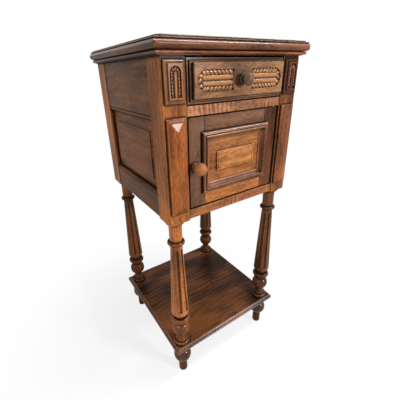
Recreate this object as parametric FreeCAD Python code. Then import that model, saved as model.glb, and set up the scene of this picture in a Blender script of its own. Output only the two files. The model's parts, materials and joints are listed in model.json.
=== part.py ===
import FreeCAD, Part
import math
import os

os.makedirs("parts", exist_ok=True)

# Walnut nightstand with a marble top, a carved drawer, a panelled door and turned, fluted legs.
# Millimetres. X runs to the right, the front faces -Y, Z is up from the floor.
# The origin is on the floor, in the middle of the whole outline.

vector = FreeCAD.Vector
up = vector(0, 0, 1)
sideways = vector(1, 0, 0)
centre = vector(0, 0, 0)
full_turn = 360
quarter_turn = 90
diagonal_share = math.sqrt(2) / 2
corner_share = 1 - diagonal_share

# Cabinet and its levels
cabinet_width = 360.0           # across the outer faces of the posts
cabinet_depth = 356.0
post_size = 51.0
post_arris = 1.5                # worn round corner of the posts
foot_height = 108.0             # floor to the underside of the shelf
shelf_thickness = 15.5
leg_length = 395.0              # shelf to the square of the posts
rail_lift = 2.5                 # rails start this far above the square's lower end
bottom_rail_height = 22.0
door_opening_height = 199.5
drawer_rail_height = 20.0
drawer_opening_height = 84.5
top_rail_height = 8.5
top_frame_thickness = 20.5

# Joinery
glue_gap = 0.1
running_gap = 0.25
overrun = 5.0                   # cutters pass their piece by this much
easing = 0.8                    # broken arrises
rail_setback = 1.5              # rails lie behind the faces of the posts
tenon_length = 20.0
tenon_thickness = 9.0
tenon_shoulder = 3.0
tenon_cheek = 7.0               # wood left before and behind the tenons of the front and back rails
groove_depth = 7.0
groove_spare = 0.6              # room for a panel to move in its groove

# Turned leg, from the shelf upwards
base_ring_height = 9.5
base_ring_radius = 23.4
base_ring_seat_radius = 21.0
base_ring_top_radius = 19.5
base_bead_height = 5.0
base_bead_radius = 17.4
base_bead_edge_radius = 15.2
cove_height = 16.5
cove_shares = (0.86, 0.42)
waist_radius = 11.8
ball_height = 42.0
ball_radius = 24.0
ball_top_radius = 12.8
throat_height = 9.0
throat_shares = (0.14, 0.55)
collar_height = 14.0
collar_radius = 24.8
collar_edge_radius = 18.2
lower_neck_height = 8.0
lower_neck_radius = 15.5
taper_rounding = 15.0
taper_foot_radius = 23.3
taper_head_radius = 14.6
ring_gap = 3.5
ring_height = 9.0
ring_radius = 21.2
upper_neck_height = 46.0
upper_neck_radius = 15.5
pommel_height = 10.0            # turned shoulder under the square
pommel_radius = 23.3
pommel_seat_radius = 17.6
pommel_round_shares = (0.72, 0.30)

# Flutes of the leg
flute_count = 8
flute_turn = 22.5
flute_head_gap = 9.0
flute_foot_gap = 5.0
flute_head_radius = 3.0
flute_foot_radius = 3.4
flute_head_depth = 2.6
flute_foot_depth = 3.1

# Foot under the shelf
foot_pin_radius = 12.4
foot_tip_radius = 9.2
foot_tip_rounding = 5.0
foot_pin_height = 44.5
bulb_radius = 25.0
bulb_height = 41.5
bulb_neck_radius = 16.4
bulb_belly_share = 0.545
foot_neck_height = 5.5
foot_ring_radius = 21.8
foot_ring_edge_radius = 18.4
spigot_radius = 8.0
spigot_rise = 22.0              # spigot length inside the leg
spigot_spare = 2.0

# Shelf edge
shelf_overhang = 6.7
shelf_corner_radius = 9.0
shelf_bead_height = 7.0
shelf_bead_reach = 2.0
shelf_fillet_height = 3.0
shelf_fillet_inset = 3.2
shelf_cove_inset = 8.6
shelf_cove_shares = (0.66, 0.34)

# Top frame, bed moulding and slab
torus_overhang = 16.5
torus_foot_overhang = 10.0
torus_height = 15.0
torus_crown_share = 0.52
bead_height = 3.0
bead_overhang = 13.0
bead_root_overhang = 11.2
top_arris_overhang = 7.2
top_arris_height = 2.0
top_rail_width = 64.0
top_corner_radius = 6.0
bed_overhang = 11.0
bed_root_overhang = 6.0
bed_fascia_overhang = 4.5
bed_fascia_height = 2.0
bed_quirk_height = 1.2
slab_thickness = 16.2
slab_proud = 3.5
slab_margin = 16.5              # wood left showing round the slab, from the top arris
slab_back_margin = 14.0
slab_fit = 0.4
slab_easing = 1.2

# Sides
side_rail_thickness = 22.0
side_top_rail_drop = 121.0      # height of the wide upper rail
side_bottom_rail_height = 60.0
lip_height = 7.5                # moulded inner edges of the side rails
lip_depth = 6.0
lip_quirk = 2.0
panel_tongue = 6.0              # thickness of a panel's edge in its groove
side_tongue_setback = 13.0      # tongue's outer face, behind the face of the posts
side_panel_step = 2.0
side_panel_reveal = 1.0         # flat of the panel inside its groove
side_panel_margin = 24.0
side_panel_rise = 4.6
field_fillet = 1.4

# Back
back_setback = 2.0
back_rail_thickness = 18.0
back_top_rail_height = 56.0
back_bottom_rail_height = 44.0
back_panel_thickness = 8.0

# Front rails and inside
bottom_rail_depth = 25.0
top_rail_depth = 45.0
floor_thickness = 10.0
floor_drop = 2.0
floor_tongue = 5.0
runner_width = 44.0
guide_height = 20.0
guide_gap = 1.0
stop_width = 22.0
stop_depth = 9.0
stop_height = 5.0
stop_spread_share = 0.5

# Drawer
drawer_gap_side = 2.0
drawer_gap_top = 2.6
drawer_gap_bottom = 2.0
drawer_front_thickness = 18.0
drawer_lip_setback = 0.8
drawer_lip = 4.2
drawer_bead_rise = 4.6
drawer_bead_width = 3.4
drawer_quirk = 1.2
drawer_field_rise = 11.5        # from the lip to the carved field
drawer_field_chamfer = 1.4
drawer_side_thickness = 11.0
drawer_side_inset = 1.0
drawer_side_height = 70.0
drawer_back_gap = 4.0
drawer_bottom_thickness = 6.0
drawer_bottom_lift = 8.5
drawer_groove = 4.0
tail_count = 3
tail_length = 12.0
tail_slope_share = 0.22
tail_narrow_share = 0.27

# Carved cartouches of the drawer
cartouche_height = 39.0
cartouche_outer = 110.5
cartouche_inner = 22.0
cartouche_hollow = 6.0
cartouche_depth = 3.0
reed_radius = 5.2

# Plaques on the posts
plaque_width = 43.5
plaque_bead = 3.0
plaque_bead_rise = 4.2
plaque_step = 4.6
plaque_rise = 8.0
plaque_cove_shares = (0.70, 0.30)
upper_plaque_gap = 5.5          # above the drawer opening's lower edge
upper_plaque_top_gap = 5.0      # below the drawer opening's upper edge
arch_width = 23.0
arch_margin = 3.0               # from the edge of the raised field
arch_depth = 2.6
stalk_radius = 3.2
lower_plaque_lift = 1.5         # above the door opening's lower edge
lower_plaque_reach = 1.0        # above the door opening's upper edge
lower_plaque_rise = 5.6
roof_half_width = 12.4
roof_end = 16.0                 # length of the hipped ends
roof_rise = 3.2

# Door
door_setback = 4.5
door_thickness = 20.0
door_gap_left = 5.4
door_gap_right = 3.2
door_gap_top = 2.4
door_gap_bottom = 1.8
stile_width = 39.0
door_top_rail_height = 40.0
door_bottom_rail_height = 38.0
door_tongue_setback = 8.0
moulding_lap = 8.5              # over the door's frame
moulding_width = 21.0
moulding_wall = 4.6
moulding_shoulder = 5.8
moulding_shoulder_rise = 8.2
moulding_quirk = 1.2
moulding_bead = 4.8
moulding_crest = 9.8
moulding_toe = 1.0              # edge that stands on the panel
moulding_shoulder_shares = (0.34, 0.72)
moulding_cove_shares = (0.40, 0.62)
door_panel_step = 5.7
door_panel_reveal = 1.0         # flat of the panel inside the moulding
door_panel_margin_side = 30.6
door_panel_margin_end = 36.5
door_panel_rise = 1.8
field_step = 1.2                # edge of the door panel's field: step, bead and quirk
field_bead = 2.6
field_quirk = 0.8

# Door pivots and catch
pivot_inset = 6.0               # pivot axis from the door's edge and from its face
pivot_radius = 2.5
pivot_fit = 0.05
pivot_pin_length = 9.0
pivot_plate_length = 34.0
pivot_plate_width = 10.0
pivot_plate_thickness = 2.5
pivot_plate_end = 5.5
pivot_washer = 1.5
pivot_washer_radius = 4.6
catch_radius = 4.0
catch_depth = 14.0
catch_ball_radius = 3.2
catch_ball_reach = 2.0
catch_drop = 34.0               # below the door's top
strike_thickness = 3.1
strike_height = 26.0
strike_width = 11.0
strike_dimple_radius = 1.6

# Knobs
knob_spigot_radius = 5.0
drawer_knob_radius = 12.6
drawer_knob_head = 15.0
drawer_knob_length = 24.0
drawer_knob_base_radius = 9.4
drawer_knob_base = 3.5
drawer_knob_neck_radius = 5.6
drawer_knob_rim_share = 0.50
door_knob_radius = 13.4
door_knob_length = 36.0
door_knob_base_radius = 9.0
door_knob_base = 5.0
door_knob_neck_radius = 6.0
door_knob_spigot = 16.0
door_knob_inset = 12.5          # from the door's free edge
door_knob_drop = 3.0            # below the middle of the door

# Levels above the floor
shelf_top = foot_height + shelf_thickness
square_bottom = shelf_top + leg_length
rails_bottom = square_bottom + rail_lift
door_opening_bottom = rails_bottom + bottom_rail_height
door_opening_top = door_opening_bottom + door_opening_height
drawer_opening_bottom = door_opening_top + drawer_rail_height
drawer_opening_top = drawer_opening_bottom + drawer_opening_height
carcass_top = drawer_opening_top + top_rail_height
frame_top = carcass_top + top_frame_thickness
slab_top = frame_top + slab_proud

# Places in plan
drawer_field_proud = drawer_field_rise - drawer_lip_setback
front_reach = max(drawer_field_proud + drawer_knob_length, door_knob_length - door_setback, torus_overhang)
front = (front_reach - shelf_overhang - cabinet_depth) / 2
back = front + cabinet_depth
left = -cabinet_width / 2
post_x = left + post_size / 2
opening_left = left + post_size
posts_front = front + post_size
posts_back = back - post_size
front_leg_y = front + post_size / 2
back_leg_y = back - post_size / 2
middle_y = (front + back) / 2


def block(x0, x1, y0, y1, z0, z1):
    return Part.makeBox(x1 - x0, y1 - y0, z1 - z0, vector(x0, y0, z0))


def grown(bar, gap):
    x0, x1, y0, y1, z0, z1 = bar
    return (x0 - gap, x1 + gap, y0 - gap, y1 + gap, z0 - gap, z1 + gap)


def round_cornered(bar, radius):
    # An upright block whose corners are round in plan.
    solid = block(*bar)
    sizes = [(edge, edge.BoundBox) for edge in solid.Edges]
    upright = [edge for edge, box in sizes if box.ZLength > box.XLength + box.YLength]
    return solid.makeFillet(radius, upright)


def mirrored(shape):
    return shape.mirror(centre, sideways)


def on_front(shape, x, y, z):
    # A shape drawn flat, rising along Z, is stood up to face the front.
    return shape.rotated(centre, sideways, quarter_turn).translated(vector(x, y, z))


def on_left(shape, x, y, z):
    # The same, facing the left side.
    stood = on_front(shape, 0, 0, 0)
    return stood.rotated(centre, up, -quarter_turn).translated(vector(x, y, z))


def outline(place, start, steps):
    # A closed face: each step is a point, or a middle point and an end point of an arc.
    edges = []
    here = start
    for step in steps:
        if isinstance(step[0], tuple):
            middle, there = step
            edges.append(Part.Arc(place(*here), place(*middle), place(*there)).toShape())
        else:
            there = step
            edges.append(Part.makeLine(place(*here), place(*there)))
        here = there
    if here != start:
        edges.append(Part.makeLine(place(*here), place(*start)))
    return Part.Face(Part.Wire(edges))


def turned(start, steps):
    face = outline(lambda r, z: vector(r, 0, z), start, steps)
    return face.revolve(centre, up, full_turn)


def between(low, high, share):
    return low + (high - low) * share


def middle(low, high):
    return (low + high) / 2


def eased(shape, axis):
    # Breaks the arrises that lie on the shape's lowest plane along one axis.
    limit = min(getattr(vertex.Point, axis) for vertex in shape.Vertexes)
    edges = [edge for edge in shape.Edges
             if all(abs(getattr(vertex.Point, axis) - limit) < glue_gap for vertex in edge.Vertexes)]
    return shape.makeChamfer(easing, edges)


def moulded_ridge(half, length, height, edge):
    # A bar along Y whose two long edges have the same moulding; edge runs inwards from the outside.
    shift = lambda point: (point[0] - half, point[1])
    start, steps = edge
    moved = [tuple(map(shift, step)) if isinstance(step[0], tuple) else shift(step) for step in steps]
    route = [shift(start)] + moved
    if route[-1] != (0, height):
        route.append((0, height))
    face = outline(lambda a, h: vector(a, -length / 2, h), (0, 0), route)
    side = face.extrude(vector(0, length, 0))
    return side.fuse(mirrored(side)).removeSplitter()


def moulded_block(width, depth, height, edge_sides, edge_ends):
    # A block with a moulding mitred round its four edges.
    across = moulded_ridge(width / 2, depth, height, edge_sides)
    along = moulded_ridge(depth / 2, width, height, edge_ends).rotated(centre, up, quarter_turn)
    return across.common(along)


def mitred_strip(length, width, low, high, start, steps, mitre_start=1, mitre_end=1):
    # A moulding along X, its outer edge on y = 0 and its inner edge on y = width.
    first = -length / 2 - overrun * mitre_start
    last = length / 2 + overrun * mitre_end
    face = outline(lambda d, h: vector(first, d, h), start, steps)
    strip = face.extrude(vector(last - first, 0, 0))
    plan = outline(lambda x, y: vector(x, y, low - overrun), (first, -overrun), [
        (last, -overrun),
        (length / 2 - width * mitre_end, width),
        (-length / 2 + width * mitre_start, width)])
    return strip.common(plan.extrude(vector(0, 0, high - low + overrun * 2)))


def turned_leg():
    # Everything below the square of the post, from the shelf to the round shoulder under the square.
    ring_bottom = shelf_top
    bead_bottom = ring_bottom + base_ring_height
    cove_bottom = bead_bottom + base_bead_height
    ball_bottom = cove_bottom + cove_height
    ball_top = ball_bottom + ball_height
    collar_bottom = ball_top + throat_height
    collar_top = collar_bottom + collar_height
    rounding_bottom = collar_top + lower_neck_height
    taper_foot = rounding_bottom + taper_rounding
    pommel_bottom = square_bottom - pommel_height
    neck_bottom = pommel_bottom - upper_neck_height
    thin_ring_bottom = neck_bottom - ring_height
    taper_head = thin_ring_bottom - ring_gap
    belly_radius = between(lower_neck_radius, taper_foot_radius, diagonal_share)
    belly_height = between(taper_foot, rounding_bottom, diagonal_share)
    cove_in, cove_up = cove_shares
    throat_out, throat_up = throat_shares
    round_out, round_up = pommel_round_shares
    hollow = (between(base_bead_edge_radius, waist_radius, cove_in),
              between(cove_bottom, ball_bottom, cove_up))
    throat = (between(ball_top_radius, collar_edge_radius, throat_out),
              between(ball_top, collar_bottom, throat_up))
    shoulder = (between(pommel_seat_radius, pommel_radius, round_out),
                between(pommel_bottom, square_bottom, round_up))
    profile = [
        (base_ring_seat_radius, ring_bottom),
        ((base_ring_radius, middle(ring_bottom, bead_bottom)), (base_ring_top_radius, bead_bottom)),
        (base_bead_edge_radius, bead_bottom),
        ((base_bead_radius, middle(bead_bottom, cove_bottom)), (base_bead_edge_radius, cove_bottom)),
        (hollow, (waist_radius, ball_bottom)),
        ((ball_radius, middle(ball_bottom, ball_top)), (ball_top_radius, ball_top)),
        (throat, (collar_edge_radius, collar_bottom)),
        ((collar_radius, middle(collar_bottom, collar_top)), (collar_edge_radius, collar_top)),
        (lower_neck_radius, collar_top),
        (lower_neck_radius, rounding_bottom),
        ((belly_radius, belly_height), (taper_foot_radius, taper_foot)),
        (taper_head_radius, taper_head),
        (taper_head_radius, thin_ring_bottom),
        ((ring_radius, middle(thin_ring_bottom, neck_bottom)), (upper_neck_radius, neck_bottom)),
        (upper_neck_radius, pommel_bottom),
        (pommel_seat_radius, pommel_bottom),
        (shoulder, (pommel_radius, square_bottom)),
        (0, square_bottom)]
    leg = turned((0, ring_bottom), profile)
    return leg.cut(Part.makeCompound(flutes(taper_foot, taper_head)))


def flutes(taper_foot, taper_head):
    # Tapered round-ended cutters laid along the taper and spaced evenly round it.
    foot = taper_foot + flute_foot_gap + flute_foot_radius
    head = taper_head - flute_head_gap - flute_head_radius
    slope = (taper_head_radius - taper_foot_radius) / (taper_head - taper_foot)
    foot_reach = taper_foot_radius + slope * (foot - taper_foot) + flute_foot_radius - flute_foot_depth
    head_reach = taper_foot_radius + slope * (head - taper_foot) + flute_head_radius - flute_head_depth
    length = math.hypot(head - foot, head_reach - foot_reach)
    lean = math.degrees(math.atan2(head_reach - foot_reach, head - foot))
    cutter = turned((0, -flute_foot_radius), [
        ((flute_foot_radius * diagonal_share, -flute_foot_radius * diagonal_share), (flute_foot_radius, 0)),
        (flute_head_radius, length),
        ((flute_head_radius * diagonal_share, length + flute_head_radius * diagonal_share),
         (0, length + flute_head_radius))])
    cutter = cutter.rotated(centre, vector(0, 1, 0), lean).translated(vector(foot_reach, 0, foot))
    step = full_turn / flute_count
    first = flute_turn - quarter_turn
    return [cutter.rotated(centre, up, first + step * number) for number in range(flute_count)]


def post_square():
    # The square of the post with its round arrises.
    half = post_size / 2
    flat = half - post_arris
    bend = half - post_arris * corner_share
    section = outline(lambda x, y: vector(x, y, square_bottom), (-flat, -half), [
        (flat, -half), ((bend, -bend), (half, -flat)),
        (half, flat), ((bend, bend), (flat, half)),
        (-flat, half), ((-bend, bend), (-half, flat)),
        (-half, -flat), ((-bend, -bend), (-flat, -half))])
    return section.extrude(vector(0, 0, carcass_top - square_bottom))


def blank_post():
    socket = Part.makeCylinder(spigot_radius + glue_gap, spigot_rise + spigot_spare, vector(0, 0, shelf_top))
    return post_square().fuse(turned_leg()).cut(socket)


def post(leg_y, cuts):
    moved = blank.translated(vector(post_x, leg_y, 0))
    return moved.cut(Part.makeCompound([block(*bar) for bar in cuts]))


def foot():
    # Turned foot: pin, ball, neck and ring, with the spigot that holds shelf and leg together.
    bulb_top = foot_pin_height + bulb_height
    ring_bottom = bulb_top + foot_neck_height
    belly = between(foot_pin_height, bulb_top, bulb_belly_share)
    tip_r = between(foot_tip_radius, foot_pin_radius, diagonal_share)
    spigot_top = shelf_top + spigot_rise
    return turned((0, 0), [
        (foot_tip_radius, 0),
        ((tip_r, foot_tip_rounding * corner_share), (foot_pin_radius, foot_tip_rounding)),
        (foot_pin_radius, foot_pin_height),
        ((bulb_radius, belly), (bulb_neck_radius, bulb_top)),
        (bulb_neck_radius, ring_bottom),
        (foot_ring_edge_radius, ring_bottom),
        ((foot_ring_radius, middle(ring_bottom, foot_height)), (foot_ring_edge_radius, foot_height)),
        (spigot_radius, foot_height),
        (spigot_radius, spigot_top),
        (0, spigot_top)])


def shelf():
    # Low shelf between feet and legs; its edge is a fillet, a bead and a cove, round at the corners.
    bead_top = shelf_fillet_height + shelf_bead_height
    cove_in, cove_up = shelf_cove_shares
    hollow = (between(shelf_bead_reach, shelf_cove_inset, cove_in),
              between(bead_top, shelf_thickness, cove_up))
    edge = ((shelf_fillet_inset, 0), [
        (shelf_fillet_inset, shelf_fillet_height),
        (shelf_bead_reach, shelf_fillet_height),
        ((0, middle(shelf_fillet_height, bead_top)), (shelf_bead_reach, bead_top)),
        (hollow, (shelf_cove_inset, shelf_thickness))])
    width = cabinet_width + shelf_overhang * 2
    depth = cabinet_depth + shelf_overhang * 2
    board = moulded_block(width, depth, shelf_thickness, edge, edge)
    limits = (-width / 2, width / 2, -depth / 2, depth / 2, 0, shelf_thickness)
    board = board.common(round_cornered(grown(limits, glue_gap), shelf_corner_radius))
    board = board.translated(vector(0, middle_y, foot_height))
    holes = [Part.makeCylinder(spigot_radius + glue_gap, shelf_thickness, vector(x, y, foot_height))
             for x in (post_x, -post_x) for y in (front_leg_y, back_leg_y)]
    return board.cut(Part.makeCompound(holes))


def side_tenons(edge, far):
    # Tenons of a side rail, clear of the groove in its moulded edge: the front one, then the back one.
    rise = math.copysign(1, far - edge)
    low, high = sorted((edge + (groove_depth + tenon_shoulder) * rise, far - tenon_shoulder * rise))
    x0 = left + side_tongue_setback
    x1 = x0 + tenon_thickness
    return ((x0, x1, posts_front - tenon_length, posts_front, low, high),
            (x0, x1, posts_back, posts_back + tenon_length, low, high))


def side_rail(edge, far):
    # Left rail between two posts; its inner edge has a round lip, a quirk and the panel's groove.
    rise = math.copysign(1, far - edge)
    lip_top = edge + lip_height * rise
    bend = (side_face + lip_depth * corner_share, edge + lip_height * corner_share * rise)
    section = outline(lambda x, z: vector(x, posts_front, z), (side_inner, edge), [
        (side_face + lip_depth, edge),
        (bend, (side_face, lip_top)),
        (side_face + lip_quirk, lip_top),
        (side_face, lip_top + lip_quirk * rise),
        (side_face, far),
        (side_inner, far)])
    rail = section.extrude(vector(0, posts_back - posts_front, 0))
    rail = rail.fuse([block(*bar) for bar in side_tenons(edge, far)])
    low, high = sorted((edge - overrun * rise, edge + groove_depth * rise))
    return rail.cut(block(*side_groove_walls, posts_front, posts_back, low, high))


def shifted(place, inward, upward):
    # A profile step, straight or curved, moved along with the edge it belongs to.
    if isinstance(place[0], tuple):
        return tuple(shifted(point, inward, upward) for point in place)
    return (place[0] + inward, place[1] + upward)


def raised_panel(width, height, step, flat, margin_sides, margin_ends, rise, field_edge):
    # A fielded panel lying flat: thin tongue, step, sloping margin and the moulded edge of a raised field.
    foot_level = panel_tongue + step + rise

    def edge(margin):
        inner = groove_depth + margin
        start = [
            (0, panel_tongue),
            (groove_depth, panel_tongue),
            (groove_depth, panel_tongue + step),
            (groove_depth + flat, panel_tongue + step),
            (inner, foot_level)]
        return ((0, 0), start + [shifted(place, inner, foot_level) for place in field_edge])
    reach = (groove_depth - groove_spare) * 2
    total = foot_level + field_edge[-1][1]
    return moulded_block(width + reach, height + reach, total, edge(margin_sides), edge(margin_ends))


def side_panel():
    panel = raised_panel(posts_back - posts_front, side_top_edge - side_bottom_edge, side_panel_step,
                         side_panel_reveal, side_panel_margin, side_panel_margin, side_panel_rise,
                         [(0, field_fillet)])
    return on_left(panel, tongue_inner, middle_y, middle(side_bottom_edge, side_top_edge))


def cross_rail(bar, tenon):
    # A rail between a left and a right post, with a tenon at each end.
    end = block(*tenon)
    return eased(block(*bar), "y").fuse([end, mirrored(end)])


def cross_bar(y0, y1, z0, z1):
    return (opening_left, -opening_left, y0, y1, z0, z1)


def cross_tenon(y0, y1, z0, z1):
    # Left tenon of such a rail, inside the given limits.
    return (opening_left - tenon_length, opening_left, y0, y1, z0 + tenon_shoulder, z1 - tenon_shoulder)


def cupboard_floor():
    # The floor's edges lie in grooves of the rails, and its corners are notched round the posts.
    wide = side_inner - floor_tongue
    narrow = opening_left + glue_gap
    near = bottom_rail_back - floor_tongue
    far = back_inner + floor_tongue
    near_notch = posts_front + glue_gap
    far_notch = posts_back - glue_gap
    plan = outline(lambda x, y: vector(x, y, floor_bottom), (narrow, near), [
        (-narrow, near), (-narrow, near_notch), (-wide, near_notch), (-wide, far_notch),
        (-narrow, far_notch), (-narrow, far), (narrow, far), (narrow, far_notch),
        (wide, far_notch), (wide, near_notch), (narrow, near_notch)])
    return plan.extrude(vector(0, 0, floor_thickness))


def top_strip(length, mitre_start):
    # Wood round the slab: torus, bead and a square arris along its outer edge.
    bead_top = torus_height + bead_height
    root = torus_overhang - bead_root_overhang
    arris = torus_overhang - top_arris_overhang
    return mitred_strip(length, top_rail_width, 0, top_frame_thickness, (top_rail_width, 0), [
        (torus_overhang - torus_foot_overhang, 0),
        ((0, torus_height * torus_crown_share), (root, torus_height)),
        ((torus_overhang - bead_overhang, middle(torus_height, bead_top)), (root, bead_top)),
        (arris, top_frame_thickness - top_arris_height),
        (arris, top_frame_thickness),
        (top_rail_width, top_frame_thickness)], mitre_start)


def bed_strip(length, mitre_start):
    # Moulding under the top: a fascia and a half-round bead.
    fascia = bed_overhang - bed_fascia_overhang
    root = bed_overhang - bed_root_overhang
    bead_top = top_rail_height - bed_quirk_height
    return mitred_strip(length, bed_overhang, 0, top_rail_height, (bed_overhang, 0), [
        (fascia, 0),
        (fascia, bed_fascia_height),
        (root, bed_fascia_height),
        ((0, middle(bed_fascia_height, bead_top)), (root, bead_top)),
        (root, top_rail_height),
        (bed_overhang, top_rail_height)], mitre_start)


def front_and_left(strip, overhang, level):
    # A moulding along the front, mitred at both ends, and one along the left side to the back.
    along_front = strip(cabinet_width + overhang * 2, 1).translated(vector(0, front - overhang, level))
    along_left = strip(cabinet_depth + overhang, 0).rotated(centre, up, -quarter_turn)
    return along_front, along_left.translated(vector(left - overhang, middle(front - overhang, back), level))


def slab():
    bend = slab_easing * corner_share
    edge = ((0, 0), [
        (0, slab_thickness - slab_easing),
        ((bend, slab_thickness - bend), (slab_easing, slab_thickness))])
    stone = moulded_block(slab_half * 2, slab_back - slab_front, slab_thickness, edge, edge)
    return stone.translated(vector(0, middle(slab_front, slab_back), slab_top - slab_thickness))


def plaque(height, rise):
    # Plaque with a bead and a cove round its raised field, lying flat.
    bend = plaque_bead * corner_share
    cove_in, cove_up = plaque_cove_shares
    hollow = (plaque_bead + plaque_step * cove_in, between(plaque_bead_rise, rise, cove_up))
    edge = ((0, 0), [
        (0, plaque_bead_rise - plaque_bead),
        ((bend, plaque_bead_rise - bend), (plaque_bead, plaque_bead_rise)),
        (hollow, (plaque_border, rise))])
    return moulded_block(plaque_width, height, rise, edge, edge)


def upper_plaque():
    # An arched niche with a round stalk standing in it.
    low = -upper_plaque_height / 2 + plaque_border + arch_margin
    high = -low
    half = arch_width / 2
    spring = high - half
    niche = outline(lambda x, y: vector(x, y, plaque_rise - arch_depth), (-half, low), [
        (half, low), (half, spring), ((0, high), (-half, spring))])
    niche = niche.extrude(vector(0, 0, arch_depth + overrun))
    stalk = turned((0, 0), [
        (stalk_radius, 0), (stalk_radius, spring - low),
        ((stalk_radius * diagonal_share, spring - low + stalk_radius * diagonal_share),
         (0, spring - low + stalk_radius))])
    stalk = stalk.rotated(centre, sideways, -quarter_turn)
    stalk = stalk.translated(vector(0, low, plaque_rise - stalk_radius))
    return plaque(upper_plaque_height, plaque_rise).cut(niche).fuse(stalk.common(niche))


def lower_plaque():
    # A long field with a hipped ridge standing on it.
    length = lower_plaque_height - plaque_width + roof_half_width * 2
    sides = ((0, 0), [(roof_half_width, roof_rise)])
    ends = ((0, 0), [(roof_end, roof_rise)])
    ridge = moulded_block(roof_half_width * 2, length, roof_rise, sides, ends)
    ridge = ridge.translated(vector(0, 0, lower_plaque_rise))
    return plaque(lower_plaque_height, lower_plaque_rise).fuse(ridge)


def drawer_side():
    # Left side with its dovetail tails.
    tail_pitch = drawer_side_height / tail_count
    narrow = tail_pitch * tail_narrow_share
    wide = narrow + tail_length * tail_slope_share
    shape = block(drawer_side_outer, drawer_side_inner, drawer_front_back, drawer_rear,
                  drawer_side_bottom, drawer_side_top)
    for number in range(tail_count):
        level = drawer_side_bottom + tail_pitch * (number + 1) - tail_pitch / 2
        tail = outline(lambda y, z: vector(drawer_side_outer, y, z), (drawer_front_back, level - narrow), [
            (drawer_front_back - tail_length, level - wide),
            (drawer_front_back - tail_length, level + wide),
            (drawer_front_back, level + narrow)])
        shape = shape.fuse(tail.extrude(vector(drawer_side_thickness, 0, 0)))
    return shape.removeSplitter()


def drawer_field():
    # Raised tablet on the drawer front: bead, quirk, and two sunk cartouches with a pair of reeds in each.
    bend = drawer_bead_width * corner_share
    riser = drawer_bead_width + drawer_quirk
    edge = ((0, 0), [
        (0, drawer_bead_rise - drawer_bead_width),
        ((bend, drawer_bead_rise - bend), (drawer_bead_width, drawer_bead_rise)),
        (riser, drawer_bead_rise),
        (riser, drawer_field_rise - drawer_field_chamfer),
        (riser + drawer_field_chamfer, drawer_field_rise)])
    tablet = moulded_block((drawer_half - drawer_lip) * 2, drawer_top - drawer_bottom_edge - drawer_lip * 2,
                           drawer_field_rise, edge, edge)
    half = cartouche_height / 2
    spring = cartouche_outer - half
    floor = drawer_field_rise - cartouche_depth
    sunk = outline(lambda x, y: vector(x, y, floor), (cartouche_inner, -half), [
        (spring, -half), ((cartouche_outer, 0), (spring, half)), (cartouche_inner, half),
        ((cartouche_inner + cartouche_hollow, 0), (cartouche_inner, -half))])
    sunk = sunk.extrude(vector(0, 0, cartouche_depth + overrun))
    reed_end = spring + reed_radius
    bend = reed_radius * diagonal_share
    reed = turned((0, cartouche_inner), [
        (reed_radius, cartouche_inner), (reed_radius, reed_end),
        ((bend, reed_end + bend), (0, reed_end + reed_radius))])
    reed = reed.rotated(centre, vector(0, 1, 0), quarter_turn)
    level = drawer_field_rise - reed_radius
    reeds = [reed.translated(vector(0, side * reed_radius, level)).common(sunk) for side in (-1, 1)]
    tablet = tablet.cut(sunk).fuse(reeds)
    return tablet.cut(mirrored(sunk)).fuse([mirrored(shape) for shape in reeds])


def drawer_knob():
    # Mushroom knob on a wooden spigot that passes through tablet and drawer front.
    spigot = drawer_field_rise + drawer_front_thickness
    head_bottom = drawer_knob_length - drawer_knob_head
    rim = between(head_bottom, drawer_knob_length, drawer_knob_rim_share)
    dome = drawer_knob_length - rim
    dome_radius = (drawer_knob_radius ** 2 + dome ** 2) / dome / 2
    half = drawer_knob_radius / 2
    return turned((0, -spigot), [
        (knob_spigot_radius, -spigot),
        (knob_spigot_radius, 0),
        (drawer_knob_base_radius, 0),
        ((between(drawer_knob_base_radius, drawer_knob_neck_radius, corner_share),
          drawer_knob_base * diagonal_share), (drawer_knob_neck_radius, drawer_knob_base)),
        (drawer_knob_neck_radius, head_bottom),
        ((between(drawer_knob_neck_radius, drawer_knob_radius, diagonal_share),
          between(head_bottom, rim, corner_share)), (drawer_knob_radius, rim)),
        ((half, drawer_knob_length - dome_radius + math.sqrt(dome_radius ** 2 - half ** 2)),
         (0, drawer_knob_length))])


def door_knob():
    # Ball knob on a neck; the spigot goes into the stile.
    ball_level = door_knob_length - door_knob_radius
    neck_top = ball_level - math.sqrt(door_knob_radius ** 2 - door_knob_neck_radius ** 2)
    return turned((0, -door_knob_spigot), [
        (knob_spigot_radius, -door_knob_spigot),
        (knob_spigot_radius, 0),
        (door_knob_base_radius, 0),
        ((between(door_knob_base_radius, door_knob_neck_radius, corner_share),
          door_knob_base * diagonal_share), (door_knob_neck_radius, door_knob_base)),
        (door_knob_neck_radius, neck_top),
        ((door_knob_radius, ball_level), (0, door_knob_length))])


def door_strip(length):
    # Bolection moulding that laps over the door frame: shoulder, quirk, bead and a cove down to the panel.
    drop = door_tongue_setback - door_panel_step
    toe = moulding_toe - drop
    out, rise = moulding_shoulder_shares
    swell = (moulding_shoulder * out, between(moulding_wall, moulding_shoulder_rise, rise))
    bead_start = moulding_shoulder + moulding_quirk
    bead_end = bead_start + moulding_bead
    bead_level = moulding_shoulder_rise - moulding_quirk
    cove_in, cove_up = moulding_cove_shares
    hollow = (between(bead_end, moulding_width, cove_in), between(bead_level, toe, cove_up))
    return mitred_strip(length, moulding_width, -drop, moulding_crest, (moulding_lap, -drop), [
        (moulding_lap, 0),
        (0, 0),
        (0, moulding_wall),
        (swell, (moulding_shoulder, moulding_shoulder_rise)),
        (bead_start, bead_level),
        ((middle(bead_start, bead_end), moulding_crest), (bead_end, bead_level)),
        (hollow, (moulding_width, toe)),
        (moulding_width, -drop)])


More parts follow.
